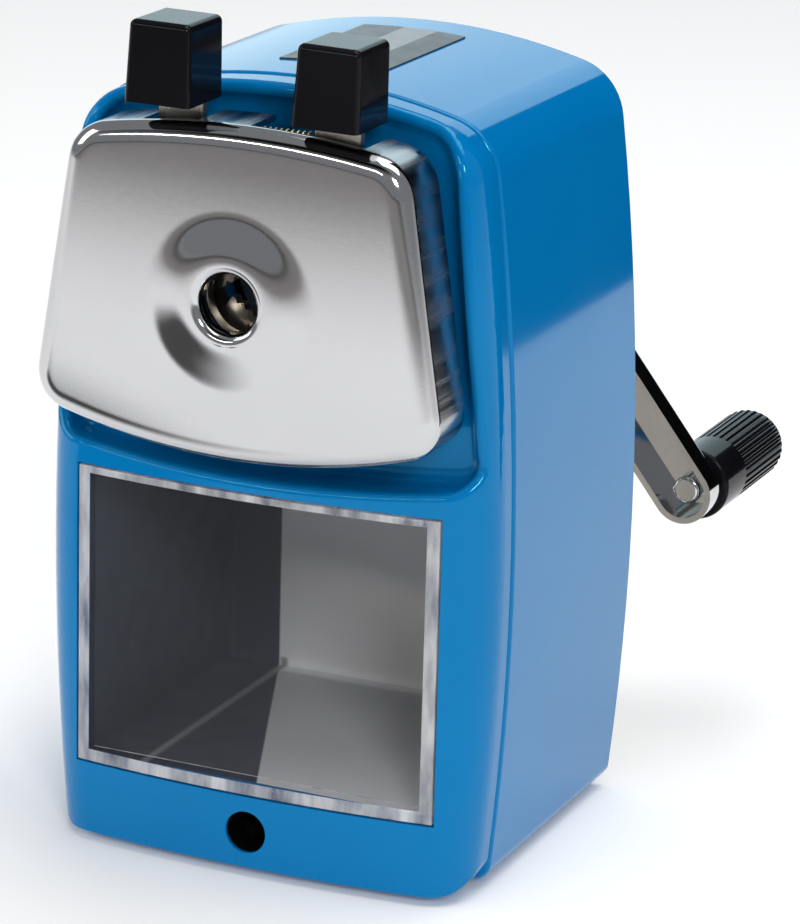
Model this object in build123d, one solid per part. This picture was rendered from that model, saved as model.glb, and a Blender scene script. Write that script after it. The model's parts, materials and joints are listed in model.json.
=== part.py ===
# Hand-crank desk pencil sharpener with a self-feeding chuck and a clear shavings drawer.
#
# Every size is in millimetres. X runs across the body, Y from front (-) to back (+), Z is up.
# The shapes are drawn with the underside of the steel body at Z = 0, and place() lifts each
# piece by the thickness of the rubber base pad, so the finished part stands on Z = 0.
from build123d import *
from math import cos, pi, radians, sin, tan
import os

# ---- body ----
PAD_T = 0.8                 # rubber pad under the body
FRONT_Y = -30.0             # front face on the centre line
BOW_R = 208.0               # plan radius of the bowed front
SEAM_Y = -19.0              # joint between the front casting and the steel sleeve
REAR_Y = 25.0               # rear edge of the sleeve
BASE_HALF = 31.2            # half width at the base
WAIST_HALF = 33.3           # widest half width
WAIST_Z = 50.0
SHOULDER = (28.7, 103.2)    # where side and crown would meet without their radius
CROWN_Z = 108.0             # top of the body on the centre line
SHOULDER_R = 8.5
SLEEVE_T = 1.0
FRONT_EDGE_R = 7.0          # rolled outer edge of the front casting
BEZEL_GAP = 0.25            # step from sleeve to front casting
WALL_BACK_Y = -24.5         # back of the front wall
RECESS_Y = -22.0            # floor of the recess behind the face plate
RECESS_RIM_R = 1.0
SPIGOT_BACK_Y = -16.0

# ---- face plate and chuck ----
AXIS_Z = 81.1               # pencil axis
PENCIL_R = 4.8
PLATE_FRONT_Y = -36.8
PLATE_BACK_Y = -27.0
PLATE_T = 0.8
PLATE_BEND_R = 2.0
CHUCK_FRONT_Y = -27.8
CHUCK_BACK_Y = -26.0
LEVER_Y = (-33.4, -32.2)    # moving lever
TAB_Y = (-31.6, -30.4)      # fixed tab
JAW_Y = (-30.0, -28.2)
COLLAR_R = 6.45
JAW_PIVOT = (3.5, 11.5)     # from the pencil axis, for the first jaw
JAW_PIN_R = 1.0
LEFT_STEM = (-13.4, -7.0)
RIGHT_STEM = (9.9, 16.3)
STEM_TOP_Z = 111.0
BUTTON_Y = -33.6
RIVET_SPOTS = [(-20.5, 92.0), (20.5, 92.0), (-20.5, 69.0), (20.5, 69.0)]
ROD_X = 21.0
ROD_R = 2.0
ROD_BACK_Y = 19.5
RUN_FIT = 0.05              # radial clearance of every running fit

# ---- drawer and clamp hole ----
WINDOW_HALF = 27.0
WINDOW_Z = (10.4, 53.5)
DRAWER_GAP = 0.3
DRAWER_WALL = 1.6
DRAWER_BACK_Y = 18.6
PANE_BACK_Y = -27.0          # back of the drawer's front pane
BAY_HALF = 27.3
BAY_FLOOR_Z = 10.3
CLAMP_Z = 5.3
CLAMP_R = 3.0
CLAMP_TUBE_R = 3.7

# ---- cutter and crank ----
MODULE = 0.75
PINION_TEETH = 12
RING_TEETH = 38
MESH_Y = -9.4               # middle of the gear mesh
CUTTER_TILT = 10.0          # cutter axle against the pencil axis, degrees
CENTRE_R = MODULE * (RING_TEETH - PINION_TEETH) / 2
CUTTER_R = 5.1
CUTTER_Y = (-7.0, 15.0)
SHAFT_R = 3.0
ARM_FRONT_Y = 44.5
ARM_BACK_Y = 49.5
ARM_LENGTH = 54.6
ARM_ANGLE = -52.0           # crank arm against +X at rest, degrees
ARM_HALF = 4.5
KNOB_R = 5.3
KNOB_LENGTH = 25.5
FLUTES = 32
POST_SPOTS = [(-23.5, 96.5), (23.5, 96.5), (-27.5, 5.5), (27.5, 5.5)]
KNOB_X = ARM_LENGTH * cos(radians(ARM_ANGLE))
KNOB_Z = AXIS_Z + ARM_LENGTH * sin(radians(ARM_ANGLE))


def place(name, shape):
    """Lift one piece onto its pad and write it as its own node."""
    shape = Pos(0, 0, PAD_T) * shape
    shape.label = name
    export_step(shape, f"parts/{name}.step")


def slab(sketch, front, back):
    """A front-view (X, Z) sketch extruded between two Y planes."""
    return extrude(Plane.XZ.offset(-back) * sketch, amount=back - front)


def disc(x, z, radius, front, back):
    """A cylinder along Y."""
    return slab(Pos(x, z) * Circle(radius), front, back)


def tube(x, z, outer, inner, front, back):
    """A round tube along Y."""
    return slab(Pos(x, z) * (Circle(outer) - Circle(inner)), front, back)


def block(x, y, z):
    """A box from (low, high) pairs along each axis."""
    centre = ((x[0] + x[1]) / 2, (y[0] + y[1]) / 2, (z[0] + z[1]) / 2)
    return Pos(*centre) * Box(x[1] - x[0], y[1] - y[0], z[1] - z[0])


def spring(start, direction, radius, wire, length, turns):
    """An open coil that starts at a point and runs along a direction."""
    path = Helix(pitch=length / turns, height=length, radius=radius)
    section = Plane(origin=path @ 0, z_dir=path % 0) * Circle(wire / 2)
    coil = sweep(section, path=path, is_frenet=True)
    return Plane(origin=start, z_dir=direction) * coil


# ---------------------------------------------------------------- outlines
def parallel(face, distance):
    """The outline a distance outside (+) or inside (-) another, as plain arcs and lines."""
    edges = []
    for edge in offset(face, distance, kind=Kind.INTERSECTION).edges():
        if edge.geom_type == GeomType.OFFSET:
            edge = ThreePointArc(edge @ 0, edge @ 0.5, edge @ 1)
        edges.append(edge)
    return make_face(edges)


def body_outline(inset=0.0, foot_r=0.0):
    """Front view of the body: flat foot, bowed sides, crowned top."""
    side = ThreePointArc((BASE_HALF, 0), (WAIST_HALF, WAIST_Z), SHOULDER)
    crown = ThreePointArc(SHOULDER, (0, CROWN_Z), (-SHOULDER[0], SHOULDER[1]))
    other = ThreePointArc((-SHOULDER[0], SHOULDER[1]), (-WAIST_HALF, WAIST_Z), (-BASE_HALF, 0))
    foot = Line((-BASE_HALF, 0), (BASE_HALF, 0))
    face = make_face([side, crown, other, foot])
    face = fillet(face.vertices().group_by(Axis.Y)[-1], SHOULDER_R)
    if inset:
        face = parallel(face, -inset)
    if foot_r:
        face = fillet(face.vertices().group_by(Axis.Y)[0], foot_r)
    return face


def shield(top_mid, top_end, bottom_end, bottom_mid, top_r, bottom_r):
    """Four-sided outline with an arched top and bottom, symmetric about X = 0."""
    tx, tz = top_end
    bx, bz = bottom_end
    crown = ThreePointArc((-tx, tz), (0, top_mid), (tx, tz))
    right = Line((tx, tz), (bx, bz))
    sill = ThreePointArc((bx, bz), (0, bottom_mid), (-bx, bz))
    left = Line((-bx, bz), (-tx, tz))
    face = make_face([crown, right, sill, left])
    corners = face.vertices().sort_by(Axis.Y)
    face = fillet(corners[-2:], top_r)
    corners = face.vertices().filter_by(lambda v: abs(abs(v.X) - bx) < 0.01)
    return fillet(corners, bottom_r)


def plate_outline():
    """Outline of the chromed face plate."""
    return shield(103.5, (23.2, 101.2), (28.87, 65.0), 60.2, 5.5, 5.0)


def recess_outline():
    """Outline of the recess in the front casting."""
    return shield(105.9, (25.8, 102.9), (30.4, 57.4), 55.2, 7.5, 3.5)


def bow():
    """Everything behind the bowed front surface."""
    return Pos(0, FRONT_Y + BOW_R, 60) * Cylinder(BOW_R, 200)


def gear_outline(teeth, root, tip, base_w, tip_w, inward=False):
    """Tapered teeth on a ring, pointing out (pinion) or in (ring gear)."""
    reach = -0.15 if not inward else 0.15
    quad = [(root + reach, -base_w / 2), (tip, -tip_w / 2), (tip, tip_w / 2), (root + reach, base_w / 2)]
    tooth = make_face(Polyline(*quad, close=True))
    return Sketch() + [Rot(0, 0, 360 * i / teeth) * tooth for i in range(teeth)]


# ---------------------------------------------------------------- housing
def outer_sleeve():
    """Wrapped steel sleeve, open at both ends, with rounded front edge."""
    sleeve = slab(body_outline(foot_r=2.5), SEAM_Y, REAR_Y)
    front_rim = sleeve.edges().group_by(Axis.Y)[0]
    sleeve = fillet(front_rim, 0.7)
    return sleeve - slab(body_outline(SLEEVE_T, 1.5), SEAM_Y - 1, REAR_Y + 1)


def bezel_blank():
    """Solid front casting: bowed face with a rolled edge up the sides and over the top."""
    blank = slab(body_outline(BEZEL_GAP), FRONT_Y - 4, SEAM_Y - 0.3) & bow()
    rolled = blank.edges().filter_by(lambda e: e.center().Y < -25.5 and e.center().Z > 1)
    blank = fillet(rolled, FRONT_EDGE_R)
    return blank & slab(body_outline(BEZEL_GAP, 4.0), FRONT_Y - 4, SEAM_Y)


def rim_edges(shape, outline):
    """Edges of a shape that lie in its front surface along an outline seen from the front."""
    walls = outline.edges()

    def on_rim(edge):
        middle = edge @ 0.5
        spot = Vertex(middle.X, middle.Z, 0)
        flat = edge.geom_type == GeomType.LINE and abs((edge @ 0).Y - (edge @ 1).Y) > 0.1
        return middle.Y < -25.3 and not flat and min(wall.distance_to(spot) for wall in walls) < 0.05

    return shape.edges().filter_by(on_rim)


def front_bezel():
    """Front casting with the face-plate recess, drawer window and clamp hole."""
    recess = slab(recess_outline(), FRONT_Y - 4, RECESS_Y)
    recess = fillet(recess.edges().group_by(Axis.Y)[-1], 2.0)
    bezel = bezel_blank() - recess
    bezel = fillet(rim_edges(bezel, recess_outline()), RECESS_RIM_R)
    cavity = slab(body_outline(2.2, 2.0), WALL_BACK_Y, SEAM_Y)
    bezel -= cavity & block((-40, 40), (-40, 0), (1.5, WINDOW_Z[1] + 0.7))
    rim = body_outline(SLEEVE_T + RUN_FIT, 1.5) - body_outline(SLEEVE_T + 1.8, 1.5)
    bezel += slab(rim, SEAM_Y - 1.3, SPIGOT_BACK_Y)
    for x, z in POST_SPOTS[2:]:
        bezel += disc(x, z, 3.0, WALL_BACK_Y - 0.5, SPIGOT_BACK_Y + 0.6)
    bezel -= block((-WINDOW_HALF, WINDOW_HALF), (-40, 0), WINDOW_Z)
    bezel -= disc(0, CLAMP_Z, CLAMP_R, -40, -20)
    bezel -= disc(0, CLAMP_Z, CLAMP_TUBE_R, WALL_BACK_Y, 0)
    bezel -= disc(0, AXIS_Z, 8.6, -40, 0)
    for side in (-1, 1):
        bezel -= disc(side * ROD_X, AXIS_Z, 2.8, -40, 0)
    return bezel


def rear_panel():
    """Flat back plate with the crank bush hole and four screw holes."""
    panel = slab(body_outline(SLEEVE_T + 0.05, 1.5), 23.4, 24.6)
    panel -= disc(0, AXIS_Z, 6.0, 20, 30)
    for x, z in POST_SPOTS:
        panel -= disc(x, z, 1.5, 20, 30)
    return panel


def base_pad():
    """Non-slip rubber sheet under the body."""
    pad = block((-26, 26), (-22, 20), (-PAD_T, 0))
    return fillet(pad.edges().filter_by(Axis.Z), 4)


def top_label():
    """Thin plate that follows the crown of the sleeve."""
    skin = parallel(body_outline(), 0.2) - body_outline()
    return slab(skin, -9.5, 17.5) & block((-6.8, 8.6), (-10, 18), (100, 110))


def drawer_bay():
    """Thin tray that the drawer slides in, on two ribs."""
    outer = BAY_HALF + 1.0
    bay = block((-outer, outer), (WALL_BACK_Y, 21.5), (BAY_FLOOR_Z - 1, WINDOW_Z[1] + 0.5))
    bay -= block((-BAY_HALF, BAY_HALF), (-40, 20.5), (BAY_FLOOR_Z, 60))
    for x in (-19, 19):
        bay += block((x - 1, x + 1), (-15, 18), (SLEEVE_T, BAY_FLOOR_Z - 0.5))
    return bay


def clamp_tube():
    """Socket for the rod of the desk clamp."""
    return tube(0, CLAMP_Z, CLAMP_TUBE_R, CLAMP_R, WALL_BACK_Y, 5)


def drawer_detent():
    """Leaf that bears on the drawer and holds it shut."""
    top = WINDOW_Z[1] + 0.5
    leaf = block((24.6, 26.9), (-6, 14), (top - 0.4, top))
    return leaf + block((24.6, BAY_HALF + 1.0), (6, 14), (top, top + 0.5))


def front_bulkhead():
    """Plate behind the casting that carries the gear, bearing and rod bushes."""
    plate = slab(body_outline(SLEEVE_T + 0.2, 1.5), SPIGOT_BACK_Y, SPIGOT_BACK_Y + 1.6)
    plate &= block((-40, 40), (-40, 0), (56.5, 110))
    plate -= disc(0, AXIS_Z, 9.0, -40, 0)
    for side in (-1, 1):
        plate -= disc(side * ROD_X, AXIS_Z, 3.3, -40, 0)
    return plate


def ring_gear():
    """Fixed internal gear that the cutter pinion rolls in."""
    rim = tube(0, AXIS_Z, 16.6, 15.0, SPIGOT_BACK_Y + 1.6, -7.4)
    teeth = gear_outline(RING_TEETH, 15.0, 13.8, 1.15, 0.5, inward=True)
    return rim + slab(Pos(0, AXIS_Z) * teeth, MESH_Y - 1.8, -7.4)


def front_bearing():
    """Bush that the carrier's front journal turns in."""
    return tube(0, AXIS_Z, 9.0, 8.0 + RUN_FIT, -18.0, -13.9)


def guide_bush(side):
    """Flanged bush for a guide rod."""
    bush = tube(side * ROD_X, AXIS_Z, 3.3, ROD_R + RUN_FIT, -18.5, -13.6)
    return bush + tube(side * ROD_X, AXIS_Z, 4.2, ROD_R + RUN_FIT, SPIGOT_BACK_Y + 1.6, -13.6)


def shavings_guard():
    """Curved sheet over the cutter that sends the shavings down into the drawer."""
    ring = tube(0, AXIS_Z, 16.2, 15.5, -7.4, 23.4)
    return ring & block((-20, 20), (-10, 30), (AXIS_Z + 3, AXIS_Z + 20))


def crank_bush():
    """Flanged bush for the crank shaft in the rear panel."""
    bush = tube(0, AXIS_Z, 6.0, SHAFT_R + RUN_FIT, 22.4, 27.4)
    flange = tube(0, AXIS_Z, 9.0, SHAFT_R + RUN_FIT, 24.6, 26.0)
    return bush + flange


def tie_post(x, z):
    """Spacer post between the front and the rear panel, drilled for its screw."""
    front = SPIGOT_BACK_Y + (1.6 if z > 50 else 0.6)
    return disc(x, z, 2.0, front, 23.4) - disc(x, z, 1.2, 17.0, 24)


def panel_screw(x, z):
    """Cross-head screw through the rear panel."""
    head = fillet(disc(x, z, 2.6, 24.6, 26.0).edges().group_by(Axis.Y)[-1], 0.8)
    screw = head + disc(x, z, 1.2, 17.5, 24.6)
    for wide, high in ((2.8, 0.6), (0.6, 2.8)):
        screw -= slab(Pos(x, z) * Rectangle(wide, high), 25.3, 27)
    return screw


# ---------------------------------------------------------------- sliding face unit
def face_plate():
    """Deep-drawn chromed plate with a cone round the pencil hole and two slots on top."""
    plate = slab(plate_outline(), PLATE_FRONT_Y, PLATE_BACK_Y)
    plate = fillet(plate.edges().group_by(Axis.Y)[0], PLATE_BEND_R)
    inner = slab(parallel(plate_outline(), -PLATE_T), PLATE_FRONT_Y + PLATE_T, 0)
    plate -= fillet(inner.edges().group_by(Axis.Y)[0], PLATE_BEND_R - PLATE_T)
    cone = Cone(10.5, 5.6, 0.9, align=(Align.CENTER, Align.CENTER, Align.MIN))
    plate += Plane((0, PLATE_FRONT_Y, AXIS_Z), z_dir=(0, -1, 0)) * cone
    plate -= disc(0, AXIS_Z, PENCIL_R, -40, -30)
    for low, high in ((-14.2, -6.2), (1.3, 17.2)):
        plate -= block((low, high), (-34.4, 0), (96, 110))
    return plate


def chuck_collar():
    """Flanged collar that the lever turns on."""
    collar = tube(0, AXIS_Z, COLLAR_R, 5.2, PLATE_FRONT_Y + PLATE_T, -31.6)
    return collar + tube(0, AXIS_Z, 8.0, 5.2, -32.0, -31.6)


def chuck_plate():
    """Back plate of the face unit, with the jaws on its front."""
    plate = slab(parallel(plate_outline(), -2.4), CHUCK_FRONT_Y, CHUCK_BACK_Y)
    plate -= disc(0, AXIS_Z, 6.2, -40, 0)
    for side in (-1, 1):
        plate -= disc(side * ROD_X, AXIS_Z, ROD_R, -40, 0)
    for x, z in RIVET_SPOTS:
        plate -= disc(x, z, 1.0, -40, 0)
    for index in range(3):
        x, z = jaw_pivot(index)
        plate -= disc(x, z, JAW_PIN_R, -40, 0)
    return plate


def plate_rivet(x, z):
    """Shouldered rivet that holds the face plate off the chuck plate."""
    return disc(x, z, 1.6, PLATE_FRONT_Y + PLATE_T, CHUCK_FRONT_Y) + disc(x, z, 1.0, -28, CHUCK_BACK_Y + 0.4)


def guide_rod(side):
    """Steel rod with a riveted head, sliding in the bushes."""
    x = side * ROD_X
    rod = disc(x, AXIS_Z, ROD_R, CHUCK_FRONT_Y, ROD_BACK_Y)
    rod += disc(x, AXIS_Z, 3.0, CHUCK_FRONT_Y - 0.7, CHUCK_FRONT_Y)
    return rod - tube(x, AXIS_Z, ROD_R + 1, 1.6, 17.6, 18.4)


def rod_stop(side):
    """Retaining ring in the groove at the end of a guide rod."""
    return tube(side * ROD_X, AXIS_Z, 3.6, 1.6, 17.6, 18.4)


def feed_spring(side):
    """Spring that draws the face unit back and feeds the pencil."""
    return spring((side * ROD_X, -13.2, AXIS_Z), (0, 1, 0), 2.75, 0.6, 30.3, 11)


def jaw_pivot(index):
    """Front-view place of a jaw's pin."""
    turn = radians(120 * index)
    x, z = JAW_PIVOT
    return x * cos(turn) - z * sin(turn), AXIS_Z + x * sin(turn) + z * cos(turn)


def jaw_pin(index):
    """Headed pin that a jaw swings on."""
    x, z = jaw_pivot(index)
    return disc(x, z, JAW_PIN_R, -30.3, CHUCK_BACK_Y + 0.3) + disc(x, z, 1.7, -30.4, -30.1)


def jaw(index):
    """Swinging jaw with a notched edge towards the pencil."""
    outline = [(2.4, -2.2), (5.6, -2.6), (7.0, 3.0), (5.6, 13.2), (1.6, 13.2), (1.4, 9.6), (2.4, 6.0)]
    blank = make_face(Polyline(*outline, close=True))
    blank -= Pos(*JAW_PIVOT) * Circle(JAW_PIN_R + RUN_FIT)
    for step in range(4):
        blank -= Pos(2.4, -1.2 + 1.4 * step) * Rot(0, 0, 45) * Rectangle(0.7, 0.7)
    return slab(Pos(0, AXIS_Z) * Rot(0, 0, 120 * index) * blank, *JAW_Y)


def fixed_tab():
    """Pressed steel tab that carries the left button and seats the lever spring."""
    low, high = LEFT_STEM
    outline = [(-17, 92), (-9, 92), (high, 98.5), (2.2, 98.5), (2.2, 102.4), (high, 102.4), (high, STEM_TOP_Z),
               (low, STEM_TOP_Z), (low, 101), (-17, 97)]
    tab = slab(make_face(Polyline(*outline, close=True)), *TAB_Y)
    tab += block((1.6, 2.2), (-34.0, TAB_Y[0]), (100.6, 103.6))
    return tab + block((-16.5, -11), (TAB_Y[1], CHUCK_FRONT_Y), (92.2, 96))


def clamp_lever():
    """Ring lever on the collar: squeezing it towards the fixed tab opens the jaws."""
    ring = Pos(0, AXIS_Z) * Circle(10.0)
    low, high = RIGHT_STEM
    outline = [(-2, 87), (3, 92), (low, 98), (low, STEM_TOP_Z), (high, STEM_TOP_Z), (high, 96), (9.4, 84)]
    lever = ring + make_face(Polyline(*outline, close=True))
    return slab(lever - Pos(0, AXIS_Z) * Circle(COLLAR_R + RUN_FIT), *LEVER_Y)


def lever_spring():
    """Small coil between the fixed tab and the lever."""
    return spring((2.5, -32.8, 102.7), (1, 0, 0), 1.1, 0.45, 7.2, 9)


def button(x, bottom, lean, stem, stem_y):
    """Square push cap, slightly tapered, on top of its stem."""
    top = Pos(0, 0, 10.7) * Rectangle(8.6, 10.8)
    cap = loft([Rectangle(9.3, 11.0), top])
    cap = fillet(cap.edges().filter_by(lambda e: e.center().Z > 1), 0.9)
    cap = Pos(x, BUTTON_Y, bottom) * Rot(-1, lean, 2.5) * cap
    return cap - block(stem, stem_y, (90, STEM_TOP_Z))


def drawer_tray():
    """Clear tray with a bowed front, open on top."""
    half = WINDOW_HALF - DRAWER_GAP
    low, high = WINDOW_Z[0] + DRAWER_GAP, WINDOW_Z[1] - DRAWER_GAP
    front = block((-half, half), (FRONT_Y - 2, PANE_BACK_Y), (low, high)) & bow()
    wall = half - 0.2
    tray = block((-wall, wall), (PANE_BACK_Y, DRAWER_BACK_Y), (low, high - 0.8))
    tray -= block((-wall + DRAWER_WALL, wall - DRAWER_WALL), (PANE_BACK_Y - 9, DRAWER_BACK_Y - DRAWER_WALL),
                  (low + DRAWER_WALL, 60))
    return front + tray


# ---------------------------------------------------------------- crank, carrier and cutter
def cutter_frame(y):
    """Plane at a station along the tilted cutter axle, normal along the axle."""
    height = AXIS_Z + CENTRE_R - tan(radians(CUTTER_TILT)) * (y - MESH_Y)
    normal = (0, cos(radians(CUTTER_TILT)), -sin(radians(CUTTER_TILT)))
    return Plane((0, y, height), x_dir=(1, 0, 0), z_dir=normal)


def cutter_carrier():
    """Two cheeks joined by bars, holding the cutter against the pencil point."""
    carrier = tube(0, AXIS_Z, 8.0, 5.0, -18.5, -13.4)
    carrier += tube(0, AXIS_Z, 13.2, 5.0, -13.4, -11.6)
    carrier += disc(0, AXIS_Z, 11.5, 16.2, 19.5)
    carrier += tube(0, AXIS_Z, 5.6, SHAFT_R, 19.5, 22.0)
    for angle in (215, 270, 325):
        x = 9.6 * cos(radians(angle))
        z = AXIS_Z + 9.6 * sin(radians(angle))
        carrier += disc(x, z, 1.7, -11.8, 16.4)
    return carrier - extrude(cutter_frame(-14) * Circle(1.5), amount=33)


def cutter_axle():
    """Axle pressed into both cheeks."""
    return extrude(cutter_frame(-13.2) * Circle(1.5), amount=32)


def cutter_pinion():
    """Pinion on the cutter that rolls in the ring gear."""
    teeth = gear_outline(PINION_TEETH, 3.85, 5.0, 1.15, 0.5)
    wheel = Circle(3.85) + Rot(0, 0, 90) * teeth
    return extrude(cutter_frame(MESH_Y - 1.4) * (wheel - Circle(1.5 + RUN_FIT)), amount=2.9)


def helical_cutter():
    """Cutter with twisted flutes, tapered clear of the cheeks."""
    flute = Pos(CUTTER_R, 0) * Rot(0, 0, 30) * Rectangle(0.9, 0.9)
    section = Circle(CUTTER_R) - [Rot(0, 0, 20 * i) * flute for i in range(18)]
    length = (CUTTER_Y[1] - CUTTER_Y[0]) / cos(radians(CUTTER_TILT)) - 0.4
    sections = [Pos(0, 0, length * i / 6) * Rot(0, 0, 10 * i) * section for i in range(7)]
    solid = loft(sections)
    return cutter_frame(CUTTER_Y[0]) * (solid - Cylinder(1.5 + RUN_FIT, 80))


def crank_shaft():
    """Shaft from the carrier to the crank arm."""
    shaft = disc(0, AXIS_Z, SHAFT_R, 19.5, ARM_BACK_Y - 0.9)
    return shaft + disc(0, AXIS_Z, 2.2, ARM_BACK_Y - 1, ARM_BACK_Y + 3.2)


def arm_outline(half):
    """Straight-sided arm with round ends, along +X from the shaft."""
    return SlotCenterToCenter(ARM_LENGTH, 2 * half)


def crank_arm():
    """Pressed channel, open to the front, from the shaft to the knob pin."""
    centre = Pos(0, AXIS_Z) * Rot(0, 0, ARM_ANGLE) * Pos(ARM_LENGTH / 2, 0)
    arm = slab(centre * arm_outline(ARM_HALF), ARM_FRONT_Y, ARM_BACK_Y)
    arm = fillet(arm.edges().group_by(Axis.Y)[-1], 1.2)
    arm -= slab(centre * arm_outline(ARM_HALF - 0.9), ARM_FRONT_Y - 1, ARM_BACK_Y - 0.9)
    arm -= disc(0, AXIS_Z, 2.2, 40, 52)
    return arm - disc(KNOB_X, KNOB_Z, 1.5, 40, 52)


def crank_nut():
    """Domed nut that holds the arm on the shaft."""
    nut = slab(Pos(0, AXIS_Z) * RegularPolygon(4.2, 6), ARM_BACK_Y, ARM_BACK_Y + 3.0)
    dome = fillet(disc(0, AXIS_Z, 3.4, ARM_BACK_Y + 2.8, ARM_BACK_Y + 5.2).edges().group_by(Axis.Y)[-1], 1.8)
    return nut + dome - disc(0, AXIS_Z, 2.2, ARM_BACK_Y - 1, ARM_BACK_Y + 3.2)


def knob_pin():
    """Riveted pin that the knob turns on."""
    head = fillet(disc(KNOB_X, KNOB_Z, 2.1, ARM_BACK_Y - 3.1, ARM_BACK_Y - 0.9).edges().group_by(Axis.Y)[0], 0.7)
    pin = head + disc(KNOB_X, KNOB_Z, 1.5, ARM_BACK_Y - 1, ARM_BACK_Y + 20)
    return pin + disc(KNOB_X, KNOB_Z, 2.3, ARM_BACK_Y + 20, ARM_BACK_Y + 21)


def crank_knob():
    """Fluted turning knob with a plain collar and a domed end."""
    start = ARM_BACK_Y + 0.3
    end = ARM_BACK_Y + KNOB_LENGTH
    knob = disc(KNOB_X, KNOB_Z, KNOB_R, start, end)
    knob = fillet(knob.edges().group_by(Axis.Y)[-1], 1.3)
    knob = fillet(knob.edges().group_by(Axis.Y)[0], 0.5)
    for i in range(FLUTES):
        turn = 2 * pi * i / FLUTES
        x = KNOB_X + (KNOB_R + 0.12) * cos(turn)
        z = KNOB_Z + (KNOB_R + 0.12) * sin(turn)
        knob -= disc(x, z, 0.42, start + 8, end + 1)
    knob -= disc(KNOB_X, KNOB_Z, 1.5 + RUN_FIT, start - 1, ARM_BACK_Y + 20)
    return knob - disc(KNOB_X, KNOB_Z, 2.6, ARM_BACK_Y + 19.7, ARM_BACK_Y + 21.3)


os.makedirs("parts", exist_ok=True)

place("outer_sleeve", outer_sleeve())
place("front_bezel", front_bezel())
place("rear_panel", rear_panel())
place("base_pad", base_pad())
place("top_label", top_label())
place("drawer_bay", drawer_bay())
place("clamp_tube", clamp_tube())
place("drawer_detent", drawer_detent())
place("front_bulkhead", front_bulkhead())
place("ring_gear", ring_gear())
place("front_bearing", front_bearing())
place("shavings_guard", shavings_guard())
place("crank_bush", crank_bush())
for number, (x, z) in enumerate(POST_SPOTS, 1):
    place(f"tie_post_{number}", tie_post(x, z))
    place(f"panel_screw_{number}", panel_screw(x, z))

place("face_plate", face_plate())
place("chuck_collar", chuck_collar())
place("chuck_plate", chuck_plate())
for number, (x, z) in enumerate(RIVET_SPOTS, 1):
    place(f"plate_rivet_{number}", plate_rivet(x, z))
for name, side in (("left", -1), ("right", 1)):
    place(f"guide_bush_{name}", guide_bush(side))
    place(f"guide_rod_{name}", guide_rod(side))
    place(f"rod_stop_{name}", rod_stop(side))
    place(f"feed_spring_{name}", feed_spring(side))
for index in range(3):
    place(f"jaw_pin_{index + 1}", jaw_pin(index))
    place(f"jaw_{index + 1}", jaw(index))
place("fixed_tab", fixed_tab())
place("left_button", button(-10.3, 106.4, 1.4, LEFT_STEM, TAB_Y))
place("clamp_lever", clamp_lever())
place("right_button", button(13.4, 105.7, 1.7, RIGHT_STEM, LEVER_Y))
place("lever_spring", lever_spring())

place("drawer_tray", drawer_tray())

place("cutter_carrier", cutter_carrier())
place("cutter_axle", cutter_axle())
place("cutter_pinion", cutter_pinion())
place("helical_cutter", helical_cutter())
place("crank_shaft", crank_shaft())
place("crank_arm", crank_arm())
place("crank_nut", crank_nut())
place("knob_pin", knob_pin())
place("crank_knob", crank_knob())
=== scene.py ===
# Looks of a hand-crank desk pencil sharpener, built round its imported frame. Units are metres.
import json
from math import acos, cos, hypot, pi, radians, sin, sqrt, tan

import bmesh
import bpy
from mathutils import Matrix, Vector

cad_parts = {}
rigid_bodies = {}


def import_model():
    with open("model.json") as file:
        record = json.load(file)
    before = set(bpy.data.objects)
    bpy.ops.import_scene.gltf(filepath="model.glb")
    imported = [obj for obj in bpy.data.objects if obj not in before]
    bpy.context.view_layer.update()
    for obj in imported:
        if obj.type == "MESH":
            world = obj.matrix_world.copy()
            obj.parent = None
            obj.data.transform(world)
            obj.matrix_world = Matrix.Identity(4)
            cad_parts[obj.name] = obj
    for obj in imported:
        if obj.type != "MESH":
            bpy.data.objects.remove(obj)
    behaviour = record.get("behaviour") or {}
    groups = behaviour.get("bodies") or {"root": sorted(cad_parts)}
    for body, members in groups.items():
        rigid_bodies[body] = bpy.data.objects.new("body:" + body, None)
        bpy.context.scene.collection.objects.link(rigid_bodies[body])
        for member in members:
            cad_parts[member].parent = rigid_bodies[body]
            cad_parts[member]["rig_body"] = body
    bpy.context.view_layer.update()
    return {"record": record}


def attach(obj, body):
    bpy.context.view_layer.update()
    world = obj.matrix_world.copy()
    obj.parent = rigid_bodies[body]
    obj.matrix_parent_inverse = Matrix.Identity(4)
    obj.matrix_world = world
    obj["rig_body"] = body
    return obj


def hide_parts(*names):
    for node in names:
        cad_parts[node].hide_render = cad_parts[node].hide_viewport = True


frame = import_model()
MM = 0.001
PAD = 0.8                   # base pad under the body, mm
NODES = {obj.name: obj for obj in bpy.data.objects if obj.type == "MESH"}


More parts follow.
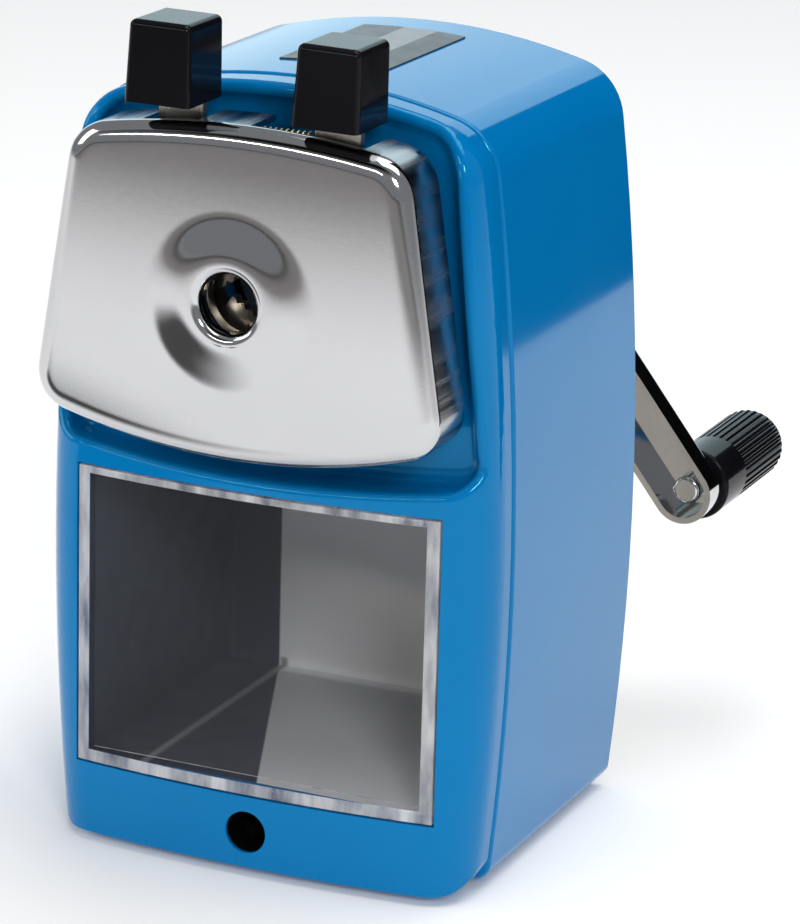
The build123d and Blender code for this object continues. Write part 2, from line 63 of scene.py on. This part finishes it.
# ------------------------------------------------------------------ materials
class Graph:
    """The node tree of a new or a given material, with short calls for the nodes used here."""

    def __init__(self, name, material=None):
        self.material = material or bpy.data.materials.new(name)
        self.material.use_nodes = True
        self.tree = self.material.node_tree
        self.shader = self.tree.nodes["Principled BSDF"]
        self.coords = self.node("ShaderNodeTexCoord")

    def node(self, kind, **settings):
        node = self.tree.nodes.new(kind)
        for key, value in settings.items():
            setattr(node, key, value)
        return node

    def link(self, source, target):
        self.tree.links.new(source, target)

    def noise(self, scale, detail=3.0, stretch=(1, 1, 1)):
        mapping = self.node("ShaderNodeMapping")
        mapping.inputs["Scale"].default_value = stretch
        self.link(self.coords.outputs["Object"], mapping.inputs["Vector"])
        noise = self.node("ShaderNodeTexNoise")
        noise.inputs["Scale"].default_value = scale
        noise.inputs["Detail"].default_value = detail
        self.link(mapping.outputs["Vector"], noise.inputs["Vector"])
        return noise.outputs["Fac"]

    def spread(self, source, low, high):
        ramp = self.node("ShaderNodeMapRange")
        ramp.inputs["From Min"].default_value = 0.3
        ramp.inputs["From Max"].default_value = 0.7
        ramp.inputs["To Min"].default_value = low
        ramp.inputs["To Max"].default_value = high
        self.link(source, ramp.inputs["Value"])
        return ramp.outputs["Result"]

    def tint(self, source, dark, light):
        mix = self.node("ShaderNodeMix", data_type="RGBA")
        mix.inputs["A"].default_value = (*dark, 1)
        mix.inputs["B"].default_value = (*light, 1)
        self.link(self.spread(source, 0, 1), mix.inputs["Factor"])
        self.link(mix.outputs["Result"], self.shader.inputs["Base Color"])

    def rough(self, source, low, high):
        self.link(self.spread(source, low, high), self.shader.inputs["Roughness"])

    def bump(self, source, strength, distance):
        bump = self.node("ShaderNodeBump")
        bump.inputs["Strength"].default_value = strength
        bump.inputs["Distance"].default_value = distance
        self.link(source, bump.inputs["Height"])
        self.link(bump.outputs["Normal"], self.shader.inputs["Normal"])

    def set(self, **values):
        for key, value in values.items():
            self.shader.inputs[key.replace("_", " ")].default_value = value


def finish(name, dark, light, rough, metallic=0.0, grain=400, stretch=(1, 1, 1), bump=(0.05, 2e-5), **values):
    """A surface with colour drift, uneven gloss and a fine relief."""
    graph = Graph(name)
    graph.set(Metallic=metallic, **values)
    graph.tint(graph.noise(28, 2.0), dark, light)
    graph.rough(graph.noise(grain / 3, 3.0, stretch), *rough)
    graph.bump(graph.noise(grain, 4.0, stretch), *bump)
    return graph.material


BLUE = finish("blue_enamel", (0.0, 0.160, 0.43), (0.0, 0.172, 0.46), (0.05, 0.08), grain=180,
              bump=(0.03, 1e-5), Specular_IOR_Level=0.5, Specular_Tint=(0.25, 0.9, 1.0, 1))
CHROME = finish("chrome_plate", (0.56, 0.56, 0.575), (0.61, 0.61, 0.62), (0.05, 0.08), 1.0, 150,
                bump=(0.02, 1e-5))
STEEL = finish("pressed_steel", (0.40, 0.37, 0.33), (0.56, 0.52, 0.46), (0.22, 0.36), 1.0, 900,
               (1, 1, 0.12), (0.12, 3e-5))
BLACK = finish("black_gloss", (0.003, 0.003, 0.004), (0.006, 0.006, 0.008), (0.08, 0.13), 0.0, 500,
               bump=(0.04, 1e-5), Specular_IOR_Level=0.12)
GREY = finish("grey_moulding", (0.52, 0.52, 0.53), (0.58, 0.58, 0.59), (0.42, 0.55), 0.0, 900)
RUBBER = finish("black_rubber", (0.012, 0.012, 0.012), (0.02, 0.02, 0.02), (0.7, 0.85), 0.0, 1200,
                bump=(0.3, 6e-5))
BRASS = finish("brass_wire", (0.60, 0.42, 0.16), (0.78, 0.60, 0.28), (0.18, 0.30), 1.0, 900,
               bump=(0.1, 2e-5))
CUTTER = finish("ground_steel", (0.10, 0.10, 0.11), (0.26, 0.26, 0.27), (0.25, 0.4), 1.0, 1200,
                (1, 0.1, 1), (0.15, 3e-5))


EDGE = 0.0001               # distance over which one colour gives way to the next
PANE_HALF = 0.0249          # open part of the drawer's front, inside its rim
PANE_Z = (0.0133, 0.0530)
PANE_BACK_Y = -0.0266
SHADE_X = -0.0112           # where the painted shade on the bay's left side ends, at y = 0
SHADE_SLOPE = 0.407         # how far that edge moves in x for each step in y
GLINT_LINE_X = -0.0186          # painted highlight line on the bay floor
BAND_X = 0.0019             # middle of the label's silver band
BAND_HALF = 0.0024
CLAMP_Z = 0.0061            # axis of the clamp hole
CLAMP_R = 0.00315


def masked(graph, source, low, high):
    """0 below low and 1 above high."""
    ramp = graph.node("ShaderNodeMapRange")
    ramp.inputs["From Min"].default_value = low
    ramp.inputs["From Max"].default_value = high
    graph.link(source, ramp.inputs["Value"])
    return ramp.outputs["Result"]


def calc(graph, operation, a, b=0):
    """One maths node on numbers or sockets. A one-sided operation leaves b out."""
    node = graph.node("ShaderNodeMath", operation=operation)
    for value, socket in ((a, node.inputs[0]), (b, node.inputs[1])):
        if isinstance(value, (int, float)):
            socket.default_value = value
        else:
            graph.link(value, socket)
    return node.outputs[0]


def spot(graph):
    """X, Y and Z of the point in the object's own space."""
    split = graph.node("ShaderNodeSeparateXYZ")
    graph.link(graph.coords.outputs["Object"], split.inputs["Vector"])
    return [split.outputs[axis] for axis in "XYZ"]


def blend(graph, factor, low, high):
    """A colour between low and high."""
    mix = graph.node("ShaderNodeMix", data_type="RGBA")
    for value, socket in ((low, mix.inputs["A"]), (high, mix.inputs["B"])):
        if isinstance(value, tuple):
            socket.default_value = (*value, 1)
        else:
            graph.link(value, socket)
    graph.link(factor, mix.inputs["Factor"])
    return mix.outputs["Result"]


def clear_plastic():
    """Clear moulding: nearly open in the middle; the thick rim of its front is painted pale and streaked, a
    painted reflection of light caught in its edges.
    """
    graph = Graph("clear_styrene")
    graph.set(Specular_IOR_Level=0.6)
    x, y, z = spot(graph)
    edge = calc(graph, "MAXIMUM", masked(graph, calc(graph, "ABSOLUTE", x), PANE_HALF, PANE_HALF + EDGE),
                masked(graph, z, PANE_Z[0], PANE_Z[0] - EDGE))
    edge = calc(graph, "MAXIMUM", edge, masked(graph, z, PANE_Z[1], PANE_Z[1] + EDGE))
    rim = calc(graph, "MULTIPLY", edge, masked(graph, y, PANE_BACK_Y, PANE_BACK_Y - 2 * EDGE))
    streaks = graph.noise(420, 4.0, (1, 1, 0.25))
    # painted reflection: the rim's pale streaked colour stands in for light caught in the thick clear edge
    rim_glare = blend(graph, graph.spread(streaks, 0, 1), (0.16, 0.18, 0.23), (0.86, 0.87, 0.89))
    graph.link(blend(graph, rim, (0.52, 0.55, 0.60), rim_glare), graph.shader.inputs["Base Color"])
    graph.rough(graph.noise(60, 2.0), 0.02, 0.05)
    facing = graph.node("ShaderNodeLayerWeight")
    facing.inputs["Blend"].default_value = 0.35
    open_part = graph.spread(facing.outputs["Facing"], 0.015, 0.10)
    solid_part = calc(graph, "MULTIPLY", rim, 0.62)
    graph.link(calc(graph, "MAXIMUM", open_part, solid_part), graph.shader.inputs["Alpha"])
    return graph.material


def label_film():
    """Dark printed film with one plain silver band."""
    graph = Graph("label_film")
    x = spot(graph)[0]
    off_middle = calc(graph, "ABSOLUTE", calc(graph, "SUBTRACT", x, BAND_X))
    band = masked(graph, off_middle, BAND_HALF + EDGE, BAND_HALF)
    film = blend(graph, graph.noise(28, 2.0), (0.035, 0.033, 0.038), (0.045, 0.043, 0.048))
    graph.link(blend(graph, band, film, (0.22, 0.23, 0.24)), graph.shader.inputs["Base Color"])
    graph.rough(graph.noise(230), 0.30, 0.38)
    graph.bump(graph.noise(700), 0.05, 2e-5)
    return graph.material


def bay_lining():
    """Moulded bay: light grey, with painted slate shade over its left side and a painted pale highlight line
    along the floor.
    """
    graph = Graph("bay_lining")
    x, y, z = spot(graph)
    side = calc(graph, "ADD", x, calc(graph, "MULTIPLY", y, SHADE_SLOPE))
    lit = masked(graph, side, SHADE_X, SHADE_X + 3 * EDGE)
    # painted shade: slate colour over the bay's left side, light grey where it stands lit
    shade = blend(graph, lit, (0.042, 0.048, 0.068), (0.82, 0.82, 0.84))
    # painted highlight: a pale line on the bay floor where the clear tray's edge catches light
    line = calc(graph, "ABSOLUTE", calc(graph, "SUBTRACT", x, GLINT_LINE_X))
    streak = calc(graph, "MULTIPLY", masked(graph, line, 0.0009, 0.0002), masked(graph, z, 0.0125, 0.0120))
    graph.link(blend(graph, streak, shade, (0.30, 0.29, 0.30)), graph.shader.inputs["Base Color"])
    graph.rough(graph.noise(300), 0.45, 0.6)
    graph.bump(graph.noise(900), 0.05, 2e-5)
    return graph.material


CLEAR = clear_plastic()
LABEL = label_film()
LINING = bay_lining()


def dark_bore(material):
    """The clamp hole's bore, coloured near black."""
    graph = Graph(material.name, material)
    x, y, z = spot(graph)
    dz = calc(graph, "SUBTRACT", z, CLAMP_Z)
    squares = calc(graph, "ADD", calc(graph, "MULTIPLY", x, x), calc(graph, "MULTIPLY", dz, dz))
    near_axis = masked(graph, calc(graph, "SQRT", squares), CLAMP_R + EDGE, CLAMP_R)
    inside = calc(graph, "MULTIPLY", near_axis, masked(graph, y, -0.0296, -0.0293))
    base = graph.shader.inputs["Base Color"].links[0].from_socket
    graph.link(blend(graph, inside, base, (0.004, 0.004, 0.005)), graph.shader.inputs["Base Color"])


dark_bore(BLUE)
SLOTS = {"blue_paint": BLUE, "chrome": CHROME, "steel": STEEL, "black_plastic": BLACK, "grey_plastic": GREY,
         "rubber": RUBBER, "brass": BRASS, "cutter_steel": CUTTER, "label": LABEL, "clear_plastic": CLEAR}
for entry in frame["record"]["subparts"]:
    node = NODES[entry["node"]]
    for slot in node.material_slots:
        slot.material = SLOTS[entry["material_slot"]]
for slot in NODES["drawer_bay"].material_slots:
    slot.material = LINING


# ------------------------------------------------------------------ mesh helpers
def piece(name, mesh, node, material):
    """A visual piece that stands for a CAD node and rides with its body."""
    obj = bpy.data.objects.new(name, mesh)
    bpy.context.collection.objects.link(obj)
    mesh.materials.clear()
    mesh.materials.append(material)
    for face in mesh.polygons:
        face.use_smooth = True
    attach(obj, NODES[node]["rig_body"])
    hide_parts(node)
    return obj


def modifier(obj, kind, **settings):
    added = obj.modifiers.new(kind.lower(), kind)
    for key, value in settings.items():
        setattr(added, key, value)
    return added


def softened(node, width, material, segments=2, angle=35):
    """The CAD shape again with its sharp edges broken."""
    mesh = NODES[node].data.copy()
    work = bmesh.new()
    work.from_mesh(mesh)
    bmesh.ops.remove_doubles(work, verts=work.verts, dist=2e-6)
    bmesh.ops.dissolve_limit(work, angle_limit=radians(0.6), verts=work.verts, edges=work.edges)
    work.to_mesh(mesh)
    work.free()
    obj = piece(node + "_soft", mesh, node, material)
    modifier(obj, "BEVEL", width=width * MM, segments=segments, limit_method="ANGLE",
             angle_limit=radians(angle), harden_normals=False)
    modifier(obj, "WEIGHTED_NORMAL", keep_sharp=True)
    return obj


def grid_mesh(name, rings, closed=True, keep=lambda i, j: True):
    """A mesh from rings of points, in mm above the table."""
    verts = [(x * MM, y * MM, z * MM) for ring in rings for x, y, z in ring]
    n = len(rings[0])
    faces = []
    for i in range(len(rings) - 1):
        for j in range(n if closed else n - 1):
            if keep(i, j):
                k = (j + 1) % n
                faces.append((i * n + j, i * n + k, (i + 1) * n + k, (i + 1) * n + j))
    mesh = bpy.data.meshes.new(name)
    mesh.from_pydata(verts, [], faces)
    return mesh


# ------------------------------------------------------------------ face plate
AXIS_Z = 81.1 + PAD
NOTCHES = ((-14.2, -6.2), (1.3, 17.2))


def arc_points(end, middle, spots):
    """Points at the given x values of the arc through end, (0, middle) and the mirror image of end."""
    rise = middle - end[1]
    radius = (end[0] ** 2 + rise ** 2) / (2 * rise)
    centre = middle - radius
    side = 1 if radius > 0 else -1
    return [(x, centre + side * sqrt(radius ** 2 - x ** 2)) for x in spots]


def corner_points(p, tp, q, tq, radius, steps):
    """Points of a rounded corner from p, heading tp, to q, heading tq."""
    turn = acos(max(-1, min(1, tp.dot(tq))))
    h = 4 / 3 * tan(turn / 4) * radius
    a, b = p + h * tp, q - h * tq
    out = []
    for i in range(1, steps):
        t = i / steps
        out.append(p * (1 - t) ** 3 + a * 3 * t * (1 - t) ** 2 + b * 3 * t * t * (1 - t) + q * t ** 3)
    return out


def shield(top_mid, top_end, bottom_end, bottom_mid, top_r, bottom_r):
    """Clockwise outline, seen from the front, with x values of the notches among its points."""
    def run(a, b, n):
        return [a + (b - a) * i / n for i in range(n + 1)]

    def flip(v):
        return Vector((-v.x, v.y))

    (tx, tz), (bx, bz) = top_end, bottom_end
    fall = Vector((bx - tx, bz - tz)).normalized()
    before, last = [Vector(p) for p in arc_points(top_end, top_mid, (tx - 0.01, tx))]
    slope_top = last - before
    slope_top.normalize()
    slope_low = Vector(arc_points(bottom_end, bottom_mid, (bx - 0.01,))[0]) - Vector((bx, bz))
    slope_low.normalize()
    cut_t = top_r * tan(acos(slope_top.dot(fall)) / 2)
    cut_b = bottom_r * tan(acos(fall.dot(slope_low)) / 2)
    top_x = tx + (-slope_top * cut_t).x
    ends = [x for pair in NOTCHES for x in pair]
    spots = sorted([x for x in run(-top_x, top_x, 90) if min(abs(x - end) for end in ends) > 0.2] + ends)
    top = [Vector(p) for p in arc_points(top_end, top_mid, spots)]
    low_x = bx + (slope_low * cut_b).x
    low = [Vector(p) for p in arc_points(bottom_end, bottom_mid, run(low_x, -low_x, 70))]
    start, end = Vector((tx, tz)) + fall * cut_t, Vector((bx, bz)) - fall * cut_b
    side = [start + (end - start) * i / 44 for i in range(45)]
    mirrored = [Vector((-p.x, p.y)) for p in reversed(side)]
    top_dir = (top[-1] - top[-2]).normalized()
    low_dir = (low[1] - low[0]).normalized()
    back = -flip(fall)
    points = list(top)
    points += corner_points(top[-1], top_dir, side[0], fall, top_r, 22) + side
    points += corner_points(side[-1], fall, low[0], low_dir, bottom_r, 22) + low
    points += corner_points(low[-1], -flip(low_dir), mirrored[0], back, bottom_r, 22) + mirrored
    points += corner_points(mirrored[-1], back, top[0], -flip(top_dir), top_r, 22)
    return points


def face_plate(material, drawn):
    """Drawn cover: shallow dome, raised mouth with a rolled lip, bend and flange with two notches."""
    outline = [Vector((p.x, p.y + PAD)) for p in shield(103.5, (23.2, 101.2), (28.87, 65.0), 60.2, 5.5, 5.0)]
    n = len(outline)
    normals = []
    for i in range(n):
        along = (outline[(i + 1) % n] - outline[i - 1]).normalized()
        normals.append(Vector((-along.y, along.x)))
    if normals[0].y < 0:
        normals = [-v for v in normals]
    front, bend_y, back = -36.8, -34.8, -27.05
    bend, lip, mouth, roll = 2.0, 5.25, 4.85, 0.4
    hub = Vector((0, AXIS_Z))

    def face_y(p):
        r = (p - hub).length
        t = min(1, max(0, (r - lip) / 7.0))
        dome = 0.42 * ((p.x / 27) ** 2 + ((p.y - 83) / 20) ** 2)
        raised = 0.86 * (1 - t) ** 2 * (1 + 2 * t)
        return front + dome - raised

    def circle(y, r):
        return [(hub.x + d.x * r, y, hub.y + d.y * r) for d in ((p - hub).normalized() for p in outline)]

    rings = [circle(-35.3, 4.82), circle(-36.2, 4.82), circle(-36.9, mouth)]
    tip = face_y(hub + Vector((lip, 0)))
    for k in range(1, 7):
        a = pi / 2 * k / 6
        rings.append(circle(tip + roll * (1 - sin(a)), lip - (lip - mouth) * cos(a)))
    inner = [p - bend * v for p, v in zip(outline, normals)]
    for k in range(1, 61):
        s = (k / 60) ** 1.25
        ring = []
        for p, q in zip(outline, inner):
            start = hub + (p - hub).normalized() * lip
            place = start + (q - start) * s
            ring.append((place.x, face_y(place), place.y))
        rings.append(ring)
    for k in range(1, 10):
        a = pi / 2 * k / 9
        ring = []
        for p, q, v in zip(outline, inner, normals):
            place = q + v * bend * sin(a)
            low = face_y(q)
            ring.append((place.x, low + (bend_y - low) * (1 - cos(a)), place.y))
        rings.append(ring)
    notch_ring = len(rings)
    for y in (-34.4, -32.5, -30.5, -28.5, back):
        rings.append([(p.x, y, p.y) for p in outline])

    def keep(i, j):
        a, b = outline[j], outline[(j + 1) % n]
        x = (a.x + b.x) / 2
        return i < notch_ring or a.y < AXIS_Z + 15 or not any(low < x < high for low, high in NOTCHES)

    mesh = grid_mesh("face_plate_cover", rings, True, keep)
    obj = piece("face_plate_cover", mesh, "face_plate", material)
    mesh.materials.append(drawn)
    for face in mesh.polygons:
        if face.center.y > (-34.7) * MM and hypot(face.center.x, face.center.z - AXIS_Z * MM) > 8 * MM:
            face.material_index = 1
    modifier(obj, "SOLIDIFY", thickness=0.8 * MM, offset=1.0, use_even_offset=False)
    modifier(obj, "BEVEL", width=0.12 * MM, segments=2, limit_method="ANGLE", angle_limit=radians(50))
    modifier(obj, "WEIGHTED_NORMAL", keep_sharp=True)
    return obj


PLATE = finish("chrome_cover", (0.56, 0.56, 0.575), (0.61, 0.61, 0.62), (0.07, 0.10), 1.0, 2600,
               (1, 0.02, 1), (0.10, 1.5e-5))
DRAWN = finish("chrome_drawn", (0.30, 0.30, 0.31), (0.62, 0.62, 0.63), (0.12, 0.30), 1.0, 1500,
               (1, 0.03, 1), (0.55, 6e-5))
face_plate(PLATE, DRAWN)
softened("drawer_tray", 0.35, CLEAR)


# ------------------------------------------------------------------ studio
def card(name, centre, size, turn, colour, glow=0.0, seen=False, fade=None):
    """A flat studio board: a floor, a flag or a glowing panel. A fade softens its far edge or its rim."""
    mesh = bpy.data.meshes.new(name)
    w, h = size[0] / 2, size[1] / 2
    mesh.from_pydata([(-w, -h, 0), (w, -h, 0), (w, h, 0), (-w, h, 0)], [], [(0, 1, 2, 3)])
    board = bpy.data.objects.new(name, mesh)
    bpy.context.collection.objects.link(board)
    board.location = centre
    board.rotation_euler = [radians(a) for a in turn]
    graph = Graph(name)
    graph.set(Roughness=0.9, Base_Color=(*colour, 1), Emission_Color=(*colour, 1), Emission_Strength=glow)
    graph.shader.inputs["Specular IOR Level"].default_value = 0.0
    if fade:
        mapping = graph.node("ShaderNodeMapping", vector_type="POINT")
        mapping.inputs["Scale"].default_value = (1 / w, 1 / h, 1)
        graph.link(graph.coords.outputs["Object"], mapping.inputs["Vector"])
        ramp = graph.node("ShaderNodeMapRange", interpolation_type="SMOOTHSTEP")
        if fade == "rim":
            shape = graph.node("ShaderNodeTexGradient", gradient_type="SPHERICAL")
            graph.link(mapping.outputs["Vector"], shape.inputs["Vector"])
            graph.link(shape.outputs["Fac"], ramp.inputs["Value"])
            ramp.inputs["From Max"].default_value = 0.7
        else:
            split = graph.node("ShaderNodeSeparateXYZ")
            graph.link(mapping.outputs["Vector"], split.inputs["Vector"])
            graph.link(split.outputs["Y"], ramp.inputs["Value"])
            ramp.inputs["From Min"].default_value = 1.0
            ramp.inputs["From Max"].default_value = fade
        graph.link(ramp.outputs["Result"], graph.shader.inputs["Alpha"])
    mesh.materials.append(graph.material)
    board.visible_camera = seen
    return board


def area(name, place, aim, size, power, colour=(1, 1, 1)):
    """A soft box that points at a place."""
    light = bpy.data.lights.new(name, "AREA")
    light.shape = "RECTANGLE"
    light.size, light.size_y = size
    light.energy = power
    light.color = colour
    lamp = bpy.data.objects.new(name, light)
    bpy.context.collection.objects.link(lamp)
    lamp.location = place
    lamp.rotation_euler = (Vector(aim) - Vector(place)).to_track_quat("-Z", "Y").to_euler()
    return lamp


DARK = (0.004, 0.004, 0.004)
card("floor", (0, 0, -0.0004), (8, 8), (0, 0, 0), (0.96, 0.96, 0.96), 0.08, True)
for flag in (card("flag_right", (0.168, 0.60, 0.407), (0.8, 1.0), (0, 90, 0), DARK),
             card("flag_front", (-0.2, -0.75, 0.92), (2.0, 0.9), (90, 0, 0), DARK, fade="rim"),
             # painted shadow: a dark card on the floor, seen only in reflections, stands in for the
             # sharpener's shadow at its front left
             card("flag_low", (-0.120, -0.150, 0.0005), (0.24, 0.11), (0, 0, 36), (0.08, 0.08, 0.08),
                  fade="rim"),
             card("flag_far", (-0.1, -1.55, 0.0005), (3.0, 2.6), (0, 0, 0), (0.26, 0.25, 0.245), fade=0.72),
             card("back_glow", (-0.9, 1.6, 0.55), (2.6, 1.0), (90, 0, 0), (0.74, 0.94, 1.0), 0.80)):
    flag.visible_diffuse = False
    flag.visible_shadow = False
    flag.visible_transmission = False
area("key_top", (0.25, 0.15, 1.2), (0, 0, 0.05), (1.1, 1.0), 11.5)
area("key_front", (0.75, -1.1, 0.75), (0, 0, 0.05), (0.3, 0.3), 6.5)
area("fill_left", (-1.1, -0.5, 0.6), (0, 0, 0.05), (0.5, 0.7), 3)
area("strip_front", (-0.45, -1.25, 0.72), (0, 0, 0.08), (0.9, 0.06), 3, (1.0, 0.95, 0.86))

world = bpy.data.worlds.new("studio")
world.use_nodes = True
world.node_tree.nodes["Background"].inputs["Color"].default_value = (0.93, 0.96, 1.0, 1)
world.node_tree.nodes["Background"].inputs["Strength"].default_value = 0.27
bpy.context.scene.world = world
bpy.context.scene.view_settings.view_transform = "Standard"

# ------------------------------------------------------------------ camera
AZIMUTH, ELEVATION, ROLL = radians(23.78), radians(16.95), radians(1.58)
DISTANCE = 0.5792
back = Vector((sin(AZIMUTH) * cos(ELEVATION), -cos(AZIMUTH) * cos(ELEVATION), sin(ELEVATION)))
level = Vector((cos(AZIMUTH), sin(AZIMUTH), 0))
rise = back.cross(level)
right = cos(ROLL) * level + sin(ROLL) * rise
up = -sin(ROLL) * level + cos(ROLL) * rise
camera_data = bpy.data.cameras.new("camera")
camera_data.lens = 162.8
camera_data.sensor_width = 36
camera_data.clip_start = 0.01
camera = bpy.data.objects.new("camera", camera_data)
bpy.context.collection.objects.link(camera)
turn = Matrix((right, up, back)).transposed().to_4x4()
aim = Vector((0, 0, 0.0558)) + 0.0074 * right - 0.0049 * up
camera.matrix_world = Matrix.Translation(aim + DISTANCE * back) @ turn
bpy.context.scene.camera = camera
